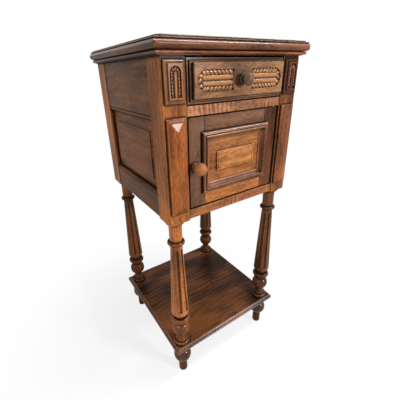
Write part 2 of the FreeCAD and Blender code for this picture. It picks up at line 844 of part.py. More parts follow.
def door_mouldings():
    half_width = frame_half + moulding_lap
    half_height = (frame_top_edge - frame_bottom_edge) / 2 + moulding_lap
    level = door_strip(half_width * 2).translated(vector(0, -half_height, 0))
    upright = door_strip(half_height * 2).rotated(centre, up, -quarter_turn)
    upright = upright.translated(vector(-half_width, 0, 0))
    strips = {
        "bottom": level, "top": level.rotated(centre, up, quarter_turn * 2),
        "left": upright, "right": upright.rotated(centre, up, quarter_turn * 2)}
    return {"door_moulding_" + side: on_front(strip, door_middle_x, door_face, frame_level)
            for side, strip in strips.items()}


def upright_cylinder(radius, low, high):
    return Part.makeCylinder(radius, high - low, vector(pivot_x, pivot_y, low))


def pivot_plate(low):
    return block(pivot_x + pivot_plate_end - pivot_plate_length, pivot_x + pivot_plate_end,
                 pivot_y - pivot_plate_width / 2, pivot_y + pivot_plate_width / 2,
                 low, low + pivot_plate_thickness)


# Left side, back and inside
side_face = left + rail_setback
side_inner = side_face + side_rail_thickness
tongue_outer = left + side_tongue_setback
tongue_inner = tongue_outer + panel_tongue
side_top_edge = carcass_top - side_top_rail_drop
side_bottom_edge = rails_bottom + side_bottom_rail_height
back_face = back - back_setback
back_inner = back_face - back_rail_thickness
back_top_edge = carcass_top - back_top_rail_height
back_bottom_edge = rails_bottom + back_bottom_rail_height
back_board_front = middle(back_inner, back_face) - back_panel_thickness / 2
back_board_back = back_board_front + back_panel_thickness
rail_face = front + rail_setback
bottom_rail_back = rail_face + bottom_rail_depth
top_rail_back = front + top_rail_depth
floor_top = door_opening_bottom - floor_drop
floor_bottom = floor_top - floor_thickness

# Slab
slab_half = cabinet_width / 2 + top_arris_overhang - slab_margin
slab_front = front - top_arris_overhang + slab_margin
slab_back = back - slab_back_margin

# Plaques
plaque_border = plaque_bead + plaque_step
upper_plaque_height = drawer_opening_height - upper_plaque_gap - upper_plaque_top_gap
upper_plaque_level = drawer_opening_bottom + upper_plaque_gap + upper_plaque_height / 2
lower_plaque_height = door_opening_height - lower_plaque_lift + lower_plaque_reach
lower_plaque_level = door_opening_bottom + lower_plaque_lift + lower_plaque_height / 2

# Drawer
drawer_half = -opening_left - drawer_gap_side
drawer_bottom_edge = drawer_opening_bottom + drawer_gap_bottom
drawer_top = drawer_opening_top - drawer_gap_top
drawer_level = middle(drawer_bottom_edge, drawer_top)
drawer_lip_face = front + drawer_lip_setback
drawer_front_back = drawer_lip_face + drawer_front_thickness
drawer_side_outer = -drawer_half + drawer_side_inset
drawer_side_inner = drawer_side_outer + drawer_side_thickness
drawer_side_bottom = drawer_opening_bottom + running_gap
drawer_side_top = drawer_side_bottom + drawer_side_height
drawer_rear = posts_back - drawer_back_gap
drawer_bottom_low = drawer_side_bottom + drawer_bottom_lift
drawer_bottom_high = drawer_bottom_low + drawer_bottom_thickness

# Door
door_left = opening_left + door_gap_left
door_right = -opening_left - door_gap_right
door_middle_x = middle(door_left, door_right)
door_bottom = door_opening_bottom + door_gap_bottom
door_top = door_opening_top - door_gap_top
door_face = front + door_setback
door_back = door_face + door_thickness
frame_half = (door_right - door_left) / 2 - stile_width
frame_bottom_edge = door_bottom + door_bottom_rail_height
frame_top_edge = door_top - door_top_rail_height
frame_level = middle(frame_bottom_edge, frame_top_edge)
door_groove_front = door_face + door_tongue_setback
door_groove_back = door_groove_front + panel_tongue
door_knob_x = door_left + door_knob_inset
door_knob_level = middle(door_bottom, door_top) - door_knob_drop
pivot_x = door_right - pivot_inset
pivot_y = door_face + pivot_inset
catch_y = middle(door_face, door_back)
catch_z = door_top - catch_drop

nodes = {}

# Carcass: posts, feet and shelf
side_top_tenons = side_tenons(side_top_edge, carcass_top)
side_bottom_tenons = side_tenons(side_bottom_edge, rails_bottom)
back_tenon_front = middle(back_inner, back_face) - tenon_thickness / 2
back_tenon_back = back_tenon_front + tenon_thickness
rail_tenon_front = rail_face + tenon_cheek
tenons = {
    "drawer": cross_tenon(rail_tenon_front, posts_front - tenon_cheek,
                          door_opening_top, drawer_opening_bottom),
    "bottom": cross_tenon(rail_tenon_front, bottom_rail_back - tenon_cheek,
                          rails_bottom, door_opening_bottom),
    "top": cross_tenon(front + tenon_cheek, top_rail_back - tenon_cheek, drawer_opening_top, carcass_top),
    "back_top": cross_tenon(back_tenon_front, back_tenon_back, back_top_edge + groove_depth, carcass_top),
    "back_bottom": cross_tenon(back_tenon_front, back_tenon_back, rails_bottom,
                               back_bottom_edge - groove_depth)}
side_groove_levels = (side_bottom_edge - groove_depth, side_top_edge + groove_depth)
side_groove_walls = (tongue_outer - glue_gap, tongue_inner + glue_gap)
back_groove_levels = (back_bottom_edge - groove_depth, back_top_edge + groove_depth)
back_groove_walls = (back_board_front - glue_gap, back_board_back + glue_gap)
blank = blank_post()
front_mortises = [side_top_tenons[0], side_bottom_tenons[0]]
front_mortises += [tenons["drawer"], tenons["bottom"], tenons["top"]]
back_mortises = [side_top_tenons[1], side_bottom_tenons[1], tenons["back_top"], tenons["back_bottom"]]
front_cuts = [grown(bar, glue_gap) for bar in front_mortises]
front_cuts.append((
    *side_groove_walls, posts_front - groove_depth, posts_front + overrun, *side_groove_levels))
back_cuts = [grown(bar, glue_gap) for bar in back_mortises]
back_cuts.append((
    *side_groove_walls, posts_back - overrun, posts_back + groove_depth, *side_groove_levels))
back_cuts.append((
    opening_left - groove_depth, opening_left + overrun, *back_groove_walls, *back_groove_levels))
nodes["post_front_left"] = post(front_leg_y, front_cuts)
nodes["post_back_left"] = post(back_leg_y, back_cuts)
one_foot = foot()
nodes["foot_front_left"] = one_foot.translated(vector(post_x, front_leg_y, 0))
nodes["foot_back_left"] = one_foot.translated(vector(post_x, back_leg_y, 0))
nodes["shelf"] = shelf()

# Carcass: sides
floor_slot = (floor_bottom - glue_gap, floor_top + glue_gap)
nodes["side_top_rail_left"] = side_rail(side_top_edge, carcass_top)
nodes["side_bottom_rail_left"] = side_rail(side_bottom_edge, rails_bottom).cut(
    block(side_inner - floor_tongue - glue_gap, side_inner + overrun, posts_front, posts_back, *floor_slot))
nodes["side_panel_left"] = side_panel()

# Carcass: back
back_top_bar = cross_bar(back_inner, back_face, back_top_edge, carcass_top)
back_bottom_bar = cross_bar(back_inner, back_face, rails_bottom, back_bottom_edge)
board_groove = block(*cross_bar(*back_groove_walls, *back_groove_levels))
back_floor_slot = block(*cross_bar(back_inner - overrun, back_inner + floor_tongue + glue_gap, *floor_slot))
nodes["back_top_rail"] = cross_rail(back_top_bar, tenons["back_top"]).cut(board_groove)
nodes["back_bottom_rail"] = cross_rail(back_bottom_bar, tenons["back_bottom"]).cut(board_groove).cut(
    back_floor_slot)
board_reach = groove_depth - groove_spare
nodes["back_panel"] = block(
    opening_left - board_reach, -opening_left + board_reach, back_board_front, back_board_back,
    back_bottom_edge - board_reach, back_top_edge + board_reach)

# Carcass: front rails, floor and drawer runners
hole_radius = pivot_radius + pivot_fit
pin_top = door_top + pivot_pin_length
pin_bottom = door_bottom - pivot_pin_length
top_socket_hole = upright_cylinder(hole_radius, door_opening_top, pin_top + running_gap)
bottom_socket_hole = upright_cylinder(hole_radius, pin_bottom - running_gap, door_bottom)
top_socket = pivot_plate(door_opening_top)
bottom_socket = pivot_plate(door_opening_bottom - pivot_plate_thickness)
washer = upright_cylinder(pivot_washer_radius, door_opening_bottom, door_opening_bottom + pivot_washer)
drawer_bar = cross_bar(rail_face, posts_front, door_opening_top, drawer_opening_bottom)
bottom_bar = cross_bar(rail_face, bottom_rail_back, rails_bottom, door_opening_bottom)
top_bar = cross_bar(front, top_rail_back, drawer_opening_top, carcass_top)
front_floor_slot = block(*cross_bar(
    bottom_rail_back - floor_tongue - glue_gap, bottom_rail_back + overrun, *floor_slot))
nodes["front_top_rail"] = cross_rail(top_bar, tenons["top"])
nodes["drawer_rail"] = cross_rail(drawer_bar, tenons["drawer"]).cut(top_socket).cut(top_socket_hole)
nodes["front_bottom_rail"] = cross_rail(bottom_bar, tenons["bottom"]).cut(
    front_floor_slot).cut(bottom_socket).cut(bottom_socket_hole)
nodes["pivot_sockets"] = Part.makeCompound([
    top_socket.cut(top_socket_hole), bottom_socket.fuse(washer).cut(bottom_socket_hole)])
nodes["cupboard_floor"] = cupboard_floor()
nodes["drawer_runner_left"] = block(side_inner, side_inner + runner_width, posts_front, posts_back,
                                    door_opening_top, drawer_opening_bottom)
nodes["drawer_guide_left"] = block(side_inner, drawer_side_outer - guide_gap, posts_front, posts_back,
                                   drawer_opening_bottom, drawer_opening_bottom + guide_height)
stop_x = opening_left * stop_spread_share
stop_front = drawer_front_back + running_gap
stop = block(stop_x - stop_width / 2, stop_x + stop_width / 2, stop_front, stop_front + stop_depth,
             drawer_opening_bottom, drawer_opening_bottom + stop_height)
nodes["drawer_stops"] = Part.makeCompound([stop, mirrored(stop)])

# Top
recess = block(-slab_half - slab_fit, slab_half + slab_fit, slab_front - slab_fit, slab_back + slab_fit,
               slab_top - slab_thickness, frame_top + overrun)
top_front, top_left = front_and_left(top_strip, torus_overhang, carcass_top)
top_inner = left - torus_overhang + top_rail_width
top_half = torus_overhang - left
top_limits = (-top_half, top_half, front - torus_overhang, back + top_corner_radius, carcass_top, frame_top)
top_outline = round_cornered(grown(top_limits, glue_gap), top_corner_radius)
nodes["top_rail_front"] = top_front.common(top_outline).cut(recess)
nodes["top_rail_left"] = top_left.common(top_outline).cut(recess)
nodes["top_rail_back"] = block(
    top_inner, -top_inner, back - top_rail_width, back, carcass_top, frame_top).cut(recess)
bed_front, bed_left = front_and_left(bed_strip, bed_overhang, drawer_opening_top)
nodes["bed_moulding_front"] = bed_front
nodes["bed_moulding_left"] = bed_left
nodes["marble_slab"] = slab()
nodes["upper_plaque_left"] = on_front(upper_plaque(), post_x, front, upper_plaque_level)
nodes["lower_plaque_left"] = on_front(lower_plaque(), post_x, front, lower_plaque_level)
strike = block(
    opening_left, opening_left + strike_thickness, catch_y - strike_width / 2, catch_y + strike_width / 2,
    catch_z - strike_height / 2, catch_z + strike_height / 2)
strike_place = vector(opening_left, catch_y, catch_z)
nodes["catch_strike"] = strike.cut(
    Part.makeCylinder(strike_dimple_radius, strike_thickness, strike_place, sideways))

# Drawer
side = drawer_side()
bottom_slot = (drawer_bottom_low - glue_gap, drawer_bottom_high + glue_gap)
slot_end = drawer_side_inner - drawer_groove
knob_hole = on_front(Part.makeCylinder(knob_spigot_radius + glue_gap, drawer_front_thickness + overrun * 2),
                     0, drawer_front_back + overrun, drawer_level)
board = block(-drawer_half, drawer_half, drawer_lip_face, drawer_front_back, drawer_bottom_edge, drawer_top)
board = eased(board, "y").cut(Part.makeCompound([side, mirrored(side)]))
nodes["drawer_front"] = board.cut(Part.makeCompound([knob_hole, block(
    slot_end, -slot_end, drawer_front_back - drawer_groove, drawer_front_back + overrun, *bottom_slot)]))
field_hole = Part.makeCylinder(knob_spigot_radius + glue_gap, drawer_field_rise)
nodes["drawer_field"] = on_front(drawer_field().cut(field_hole), 0, drawer_lip_face, drawer_level)
nodes["drawer_side_left"] = side.cut(block(
    slot_end, drawer_side_inner + overrun, drawer_front_back - tail_length, drawer_rear, *bottom_slot))
nodes["drawer_back"] = block(
    drawer_side_inner, -drawer_side_inner, drawer_rear - drawer_side_thickness, drawer_rear,
    drawer_bottom_high, drawer_side_top)
nodes["drawer_bottom"] = block(
    slot_end + glue_gap, -slot_end - glue_gap, drawer_front_back - drawer_groove + glue_gap, drawer_rear,
    drawer_bottom_low, drawer_bottom_high)
nodes["drawer_knob"] = on_front(drawer_knob(), 0, drawer_lip_face - drawer_field_rise, drawer_level)

# Door frame and panel
stile_left_inner = door_left + stile_width
stile_right_inner = door_right - stile_width
rail_limits = {
    "door_top_rail": (frame_top_edge, door_top, frame_top_edge + groove_depth, door_top - tenon_shoulder),
    "door_bottom_rail": (door_bottom, frame_bottom_edge, door_bottom + tenon_shoulder,
                         frame_bottom_edge - groove_depth)}
panel_slot = block(stile_left_inner - groove_depth, stile_right_inner + groove_depth,
                   door_groove_front - glue_gap, door_groove_back + glue_gap,
                   frame_bottom_edge - groove_depth, frame_top_edge + groove_depth)
door_mortises = []
for name, (low, high, tenon_low, tenon_high) in rail_limits.items():
    rail = eased(block(stile_left_inner, stile_right_inner, door_face, door_back, low, high), "y")
    tenon = (stile_left_inner - tenon_length, stile_right_inner + tenon_length,
             door_groove_front, door_groove_back, tenon_low, tenon_high)
    nodes[name] = rail.cut(panel_slot).fuse(block(*tenon))
    door_mortises.append(block(*grown(tenon, glue_gap)))
stile_cuts = Part.makeCompound(door_mortises + [panel_slot])
latch_stile = eased(block(door_left, stile_left_inner, door_face, door_back, door_bottom, door_top), "y")
hinge_stile = eased(block(stile_right_inner, door_right, door_face, door_back, door_bottom, door_top), "y")
spigot_hole = on_front(Part.makeCylinder(knob_spigot_radius + glue_gap, door_knob_spigot + overrun),
                       door_knob_x, door_face + door_knob_spigot, door_knob_level)
catch_barrel = Part.makeCylinder(catch_radius, catch_depth, vector(door_left, catch_y, catch_z), sideways)
catch_ball_x = door_left - catch_ball_reach + catch_ball_radius
catch_ball = Part.makeSphere(catch_ball_radius, vector(catch_ball_x, catch_y, catch_z))
top_plate = pivot_plate(door_top - pivot_plate_thickness)
bottom_plate = pivot_plate(door_bottom)
top_pin = upright_cylinder(pivot_radius, door_top - pivot_plate_thickness, pin_top)
bottom_pin = upright_cylinder(pivot_radius, pin_bottom, door_bottom + pivot_plate_thickness)
nodes["door_stile_latch"] = latch_stile.cut(stile_cuts).cut(spigot_hole).cut(catch_barrel)
nodes["door_stile_hinge"] = hinge_stile.cut(stile_cuts).cut(Part.makeCompound([top_plate, bottom_plate]))
field_top = field_step + field_bead
bead_bend = field_bead * corner_share
door_field_edge = [
    (0, field_step), ((bead_bend, field_top - bead_bend), (field_bead, field_top)),
    (field_bead + field_quirk, field_top - field_quirk * 2),
    (field_bead + field_quirk * 2, field_top - field_quirk)]
door_panel = raised_panel(frame_half * 2, frame_top_edge - frame_bottom_edge, door_panel_step,
                          moulding_width - moulding_lap + door_panel_reveal,
                          door_panel_margin_side, door_panel_margin_end, door_panel_rise, door_field_edge)
nodes["door_panel"] = on_front(door_panel, door_middle_x, door_groove_back, frame_level)
nodes.update(door_mouldings())
nodes["door_knob"] = on_front(door_knob(), door_knob_x, door_face, door_knob_level)
nodes["door_pivots"] = Part.makeCompound([top_plate.fuse(top_pin), bottom_plate.fuse(bottom_pin)])
nodes["door_catch"] = catch_barrel.fuse(catch_ball)

# Right-hand pieces are mirror images of the left-hand ones.
for name in list(nodes):
    if name.endswith("_left") and not name.startswith("door"):
        nodes[name.replace("_left", "_right")] = mirrored(nodes[name])

for name, shape in nodes.items():
    shape.exportStep("parts/" + name + ".step")
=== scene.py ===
import json
import math
import operator

import bmesh
import bpy
from mathutils import Matrix, Vector


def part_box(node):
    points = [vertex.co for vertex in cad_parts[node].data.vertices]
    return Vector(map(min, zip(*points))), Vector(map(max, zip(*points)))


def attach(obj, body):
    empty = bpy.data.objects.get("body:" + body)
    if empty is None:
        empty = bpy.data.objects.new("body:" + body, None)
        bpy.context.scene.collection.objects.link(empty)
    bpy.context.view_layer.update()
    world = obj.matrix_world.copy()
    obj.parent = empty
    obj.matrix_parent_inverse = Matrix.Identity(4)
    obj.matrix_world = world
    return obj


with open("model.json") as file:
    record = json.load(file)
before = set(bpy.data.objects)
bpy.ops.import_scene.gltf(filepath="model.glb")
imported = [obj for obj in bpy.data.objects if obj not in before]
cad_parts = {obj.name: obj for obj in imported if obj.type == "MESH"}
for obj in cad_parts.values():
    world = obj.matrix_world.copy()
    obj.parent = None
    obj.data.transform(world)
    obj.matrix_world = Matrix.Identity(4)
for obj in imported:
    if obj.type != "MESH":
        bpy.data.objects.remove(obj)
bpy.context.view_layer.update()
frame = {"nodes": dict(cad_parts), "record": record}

nodes = frame["nodes"]
scene = bpy.context.scene
scene.view_settings.view_transform = "Standard"


class Wire:
    # one shader socket; sums and products on it add Math nodes
    def __init__(self, board, socket):
        self.board = board
        self.socket = socket

    def math(self, operation, other, turned=False):
        pair = (other, self) if turned else (self, other)
        return self.board.add("ShaderNodeMath", {"operation": operation}, {0: pair[0], 1: pair[1]})

    def __add__(self, other):
        return self.math("ADD", other)

    def __radd__(self, other):
        return self.math("ADD", other, True)

    def __sub__(self, other):
        return self.math("SUBTRACT", other)

    def __rsub__(self, other):
        return self.math("SUBTRACT", other, True)

    def __mul__(self, other):
        return self.math("MULTIPLY", other)

    def __rmul__(self, other):
        return self.math("MULTIPLY", other, True)

    def __abs__(self):
        return self.board.add("ShaderNodeMath", {"operation": "ABSOLUTE"}, {0: self})


class Board:
    # one node tree, of a material or of the world
    def __init__(self, owner):
        self.owner = owner
        owner.use_nodes = True
        self.tree = owner.node_tree
        self.tree.nodes.clear()

    def add(self, kind, settings=None, inputs=None, output=0):
        node = self.tree.nodes.new(kind)
        for key, value in (settings or {}).items():
            if key == "stops":
                ramp = node.color_ramp
                while len(ramp.elements) < len(value):
                    ramp.elements.new(0.5)
                for element, (place, colour) in zip(ramp.elements, value):
                    element.position = place
                    element.color = (*colour, 1.0)
            else:
                setattr(node, key, value)
        for key, value in (inputs or {}).items():
            if isinstance(value, Wire):
                self.tree.links.new(value.socket, node.inputs[key])
            else:
                node.inputs[key].default_value = value
        return Wire(self, node.outputs[output]) if len(node.outputs) else None

    def place(self):
        # where a point lies on its object
        return self.add("ShaderNodeTexCoord", None, None, "Object")

    def part(self, vector, axis):
        return self.add("ShaderNodeSeparateXYZ", None, {0: vector}, axis)

    def facing(self, axis):
        # how far the surface looks along an axis of its object
        return self.part(self.add("ShaderNodeTexCoord", None, None, "Normal"), axis)

    def vector(self, operation, first, second=(0, 0, 0), output="Vector"):
        return self.add("ShaderNodeVectorMath", {"operation": operation}, {0: first, 1: second}, output)

    def mapped(self, vector, move=(0, 0, 0), turn=(0, 0, 0), scale=(1, 1, 1)):
        return self.add("ShaderNodeMapping", None, {0: vector, 1: move, 2: turn, 3: scale})

    def noise(self, vector, scale, detail=2.0, rough=0.5, distortion=0.0, output=0):
        return self.add("ShaderNodeTexNoise", None, {
            "Vector": vector, "Scale": scale, "Detail": detail, "Roughness": rough,
            "Distortion": distortion}, output)

    def wave(self, vector, kind, way, scale, distortion, detail, detailScale):
        settings = {"wave_type": kind, kind.lower() + "_direction": way}
        return self.add("ShaderNodeTexWave", settings, {
            "Vector": vector, "Scale": scale, "Distortion": distortion, "Detail": detail,
            "Detail Scale": detailScale}, "Fac")

    def occlusion(self, reach, inside=False):
        settings = {"samples": 6, "inside": inside, "only_local": inside}
        return self.add("ShaderNodeAmbientOcclusion", settings, {"Distance": reach}, "AO")

    def mix(self, factor, first, second, blend="MIX"):
        settings = {"data_type": "RGBA", "blend_type": blend, "clamp_factor": True}
        return self.add("ShaderNodeMix", settings, {0: factor, 6: colourOf(first), 7: colourOf(second)}, 2)

    def ramp(self, value, stops):
        return self.add("ShaderNodeValToRGB", {"stops": stops}, {0: value})

    def step(self, value, low, high):
        # 0 up to low, 1 from high on
        settings = {"interpolation_type": "SMOOTHSTEP"}
        return self.add("ShaderNodeMapRange", settings, {0: value, 1: low, 2: high})

    def fade(self, value, low, high):
        # 1 up to low, 0 from high on
        return 1 - self.step(value, low, high)

    def finish(self, surface, kind="ShaderNodeOutputMaterial"):
        self.add(kind, None, {"Surface": surface})
        return self.owner


def colourOf(value):
    return value if isinstance(value, Wire) else (*value, 1.0)


def srgb(red, green, blue):
    # a colour as it is read off a screen, 0 to 255
    def channel(value):
        value = value / 255
        return value / 12.92 if value <= 0.04045 else ((value + 0.055) / 1.055) ** 2.4
    return (channel(red), channel(green), channel(blue))


# Walnut: wandering grain along one axis, growth rings, pores, slow drift, dirt and painted shade in the
# creases, worn edges with a painted highlight
grainTurns = {"x": (0, 0, 0), "y": (0, 0, -math.pi / 2), "z": (0, math.pi / 2, 0)}
# from dark to light: where each shade stands, and the wood's own colour times this in red, green and blue
walnutShades = {
    "deep": (0.18, (0.16, 0.15, 0.15)), "dark": (0.40, (0.56, 0.53, 0.51)),
    "middle": (0.58, (1.12, 1.10, 1.06)), "light": (0.82, (1.80, 1.74, 1.60)),
}
walnutSettings = {
    # how strong the marks are, and how far in metres those reach that follow the shape; the crease and groove
    # marks are dirt with painted shade, the wall mark is painted shade, and the edge wear holds a painted
    # highlight
    "pores": 0.5, "grime": 0.56, "creaseDirtAndShade": 0.95, "groove": 0.95, "walls": 0.8, "wearAndHighlight": 0.34,
    "creaseDirtAndShadeReach": 0.014, "grooveReach": 0.005, "wearReach": 0.003,
    # the polish, of which edges that are rubbed have more
    "coat": 0.11, "rubbedCoat": 0.28, "coatRough": 0.14, "specular": 0.05, "gloss": 0.40,
    "softEdge": 0.0006, "bump": 0.06, "bumpDepth": 0.0004,
    # the shares of the grain in colour, relief and roughness, and the least edge wear and painted highlight
    # between worn patches
    "bands": 0.34, "fine": 0.62, "reliefFine": 0.6, "reliefPores": 0.5, "reliefBands": 0.4,
    "roughFine": 0.3, "roughDirt": 0.3, "roughDrift": 0.2, "wornLeast": 0.4,
    # how far apart the pieces lie in the log, and how far the grain wanders, along it and across
    "logSteps": (0.37, 0.11, 0.23), "wander": (0.02, 0.03, 0.03),
}
poreColour = (0.014, 0.008, 0.005)
# the dark of dirt and painted shade in creases and grooves, and of dirt in nicks
dirtAndShadeColour = (0.008, 0.005, 0.003)
# the dark of the painted shade on walls that face aside
wallShadeColour = (0.016, 0.006, 0.003)
# stretch along the grain, scale, detail and roughness
noises = {
    "wander": (0.35, 7.0, 2.0, 0.5), "drift": (0.35, 20.0, 3.0, 0.5), "bands": (0.08, 110.0, 4.0, 0.6),
    "fine": (0.18, 560.0, 3.0, 0.6), "pores": (0.12, 480.0, 1.0, 0.5), "grime": (0.6, 26.0, 4.0, 0.6),
    "mottle": (0.6, 60.0, 3.0, 0.6), "clouds": (0.7, 9.0, 1.0, 0.5), "nicks": (0.5, 170.0, 2.0, 0.5),
    "patches": (1.0, 26.0, 3.0, 0.5), "ripples": (1.0, 14.0, 1.0, 0.5),
}
# from where to where each mask rises
masks = {
    "pores": (0.62, 0.72), "grime": (0.56, 0.76), "patches": (0.36, 0.62), "ripples": (0.35, 0.60),
    "worn": (0.45, 0.85), "creaseDirtAndShade": (0.38, 0.86), "groove": (0.70, 0.985), "walls": (0.45, 0.80),
    "nicks": (0.56, 0.64), "nickedEdge": (0.02, 0.25), "upward": (0.02, 0.30), "flat": (0.90, 0.99),
}

# the growth rings' pitch in metres, waves and share, and the shares of the slow drift and of the grain
figures = {
    "plain": {"pitch": 0.010, "waves": 4.0, "rings": 0.07, "drift": 0.9, "grain": 1.0},
    "ripple": {"pitch": 0.010, "waves": 4.0, "rings": 0.05, "drift": 0.7, "grain": 0.9},
    "mottled": {"pitch": 0.010, "waves": 4.0, "rings": 0.06, "drift": 0.45, "grain": 0.8},
    "cathedral": {"pitch": 0.015, "waves": 5.0, "rings": 0.18, "drift": 1.2, "grain": 1.0},
    "quiet": {"pitch": 0.012, "waves": 4.0, "rings": 0.05, "drift": 0.4, "grain": 0.45},
    "calm": {"pitch": 0.010, "waves": 4.0, "rings": 0.05, "drift": 0.35, "grain": 0.8},
}
# the pitch of a ring texture of scale 1, and the detail of the rings
ringSettings = {"unit": 0.314, "detail": 2.0, "detailScale": 0.8}
# where the heart of the log lies from the piece, and how it is tilted
hearts = {"plain": ((0, 0.07, 0.05), (0, 0.06, 0.04)), "cathedral": ((0, 0.112, 0.0040), (0, 0.16, 0))}
rippleSettings = {"turn": (0, 0.3, 0.3), "scale": (1, 0.4, 0.4), "wave": (30.0, 5.0, 2.0, 3.0), "share": 0.30}
mottleShare = 0.38
# lighter to the left front, broad clouds, and a painted shadow of the case in the middle
cathedralSettings = {
    "lean": (-1.0, -0.9, 0.0), "clouds": 1.3, "caseShadowMove": (-0.0165, 0.02, 0), "caseShadowScale": (0.55, 1, 0),
    "caseShadowReach": (0.015, 0.075), "caseShadow": 0.26, "flatDull": 0.75,
}


def grained(board, vector, name, output=0):
    stretch, scale, detail, rough = noises[name]
    return board.noise(board.mapped(vector, scale=(stretch, 1, 1)), scale, detail, rough, output=output)


def grainOf(board, place, centre, axis, seed):
    # the piece in its log, and the grain along it
    look = walnutSettings
    log = board.mapped(board.vector("SUBTRACT", place, centre), turn=grainTurns[axis])
    along = board.mapped(log, tuple(step * seed for step in look["logSteps"]))
    wander = board.vector("SUBTRACT", grained(board, along, "wander", "Color"), (0.5, 0.5, 0.5))
    wander = board.vector("MULTIPLY", wander, look["wander"])
    bent = board.vector("ADD", along, wander)
    grain = {"log": board.vector("ADD", log, wander), "along": along, "bent": bent}
    for name in ("drift", "bands", "fine", "pores"):
        grain[name] = grained(board, bent, name)
    return grain


def figured(board, grain, figure):
    # how light the wood is, 0 to 1
    kit = figures[figure]
    heart = board.mapped(grain["log"], *hearts.get(figure, hearts["plain"]))
    ring = board.wave(heart, "RINGS", "X", ringSettings["unit"] / kit["pitch"], kit["waves"],
                      ringSettings["detail"], ringSettings["detailScale"])
    streaks = (grain["bands"] - 0.5) * walnutSettings["bands"] + (grain["fine"] - 0.5) * walnutSettings["fine"]
    blend = (grain["drift"] - 0.5) * kit["drift"] + streaks * kit["grain"] + (ring - 0.5) * kit["rings"] + 0.5
    if figure == "ripple":
        kit = rippleSettings
        across = board.mapped(grain["bent"], turn=kit["turn"], scale=kit["scale"])
        patch = board.step(grained(board, grain["along"], "ripples"), *masks["ripples"])
        ripple = board.wave(across, "BANDS", "X", *kit["wave"])
        blend = blend + (ripple - 0.5) * patch * kit["share"]
    if figure == "mottled":
        blend = blend + (grained(board, grain["bent"], "mottle") - 0.5) * mottleShare
    if figure == "cathedral":
        kit = cathedralSettings
        lean = board.vector("DOT_PRODUCT", grain["log"], kit["lean"], "Value")
        # painted shadow of the case across the middle of the shelf
        caseShadow = board.mapped(grain["log"], kit["caseShadowMove"], scale=kit["caseShadowScale"])
        caseShadow = board.fade(board.vector("LENGTH", caseShadow, output="Value"), *kit["caseShadowReach"])
        clouds = grained(board, grain["along"], "clouds") - 0.5
        blend = blend + clouds * kit["clouds"] + lean - caseShadow * kit["caseShadow"]
    return blend


# heights on a post: its lower turnings, foot and head of its ring, the leg below the square, the leg's polish
legLevels = {"turnings": (0.222, 0.238), "ringFoot": (0.448, 0.452), "ringHead": (0.465, 0.469),
             "leg": (0.440, 0.530), "polish": (0.50, 0.53)}
legSettings = {"liftTint": (1.9, 1.8, 1.6), "liftStart": 0.887, "bareRise": 0.006}


def stainedAndShaded(board, colour, height, stainAndShade, deep):
    ring = board.step(height, *legLevels["ringFoot"]) * board.fade(height, *legLevels["ringHead"])
    turnings = board.fade(height, *legLevels["turnings"]) + ring
    lift = board.fade(height, stainAndShade["liftTop"] * legSettings["liftStart"], stainAndShade["liftTop"])
    colour = board.mix(lift * stainAndShade["lift"], colour, legSettings["liftTint"], "MULTIPLY")
    colour = board.mix(turnings * stainAndShade["turnings"], colour, deep)
    # the leg below the square darker: stain, and on the back posts painted shade under the case
    return board.mix(board.fade(height, *legLevels["leg"]) * stainAndShade["leg"], colour, deep)


# a carving's floor is dark, painted shade in the hollow with old wax, its reeds are light, and less dirt and
# painted shade lie in its creases
groundSettings = {"rim": 0.0003, "reeds": 0.65, "floor": 0.6, "floorReach": (0.82, 0.98), "sootAndShade": 0.45,
                  "colour": (0.012, 0.007, 0.004)}


def sunkGround(board, colour, place, centre, reach, light, sootAndShade):
    # inside a box on the front of a piece
    kit = groundSettings
    inside = board.vector("ABSOLUTE", board.vector("SUBTRACT", place, centre))
    side, rise = board.part(inside, "X"), board.part(inside, "Z")
    depth = board.part(place, "Y") - centre.y

    def within(value, end):
        return board.fade(value, end, end + kit["rim"])
    patch = within(side, reach["halfSide"]) * within(rise, reach["halfRise"])
    reeds = board.step(side, reach["reedStart"], reach["reedStart"] + kit["rim"])
    reeds = reeds * within(side, reach["reedEnd"]) * within(rise, reach["reedRise"])
    floor = board.step(depth, *(reach["depth"] * share for share in kit["floorReach"]))
    colour = board.mix(reeds * kit["reeds"], colour, light)
    # painted shade on the floor of the carving, with old wax
    colour = board.mix(patch * floor * kit["floor"], colour, kit["colour"])
    return colour, sootAndShade - patch * (sootAndShade - kit["sootAndShade"])


# the flat round a raised field is darker, a nicked rim has lost its polish, and dull walls keep little of it
borderSettings = {"tint": (0.70, 0.66, 0.68), "reach": (0.4, 0.8)}
rimSettings = {"start": 0.0036, "end": 0.0026, "dull": 0.92}
wallPolish = 0.1


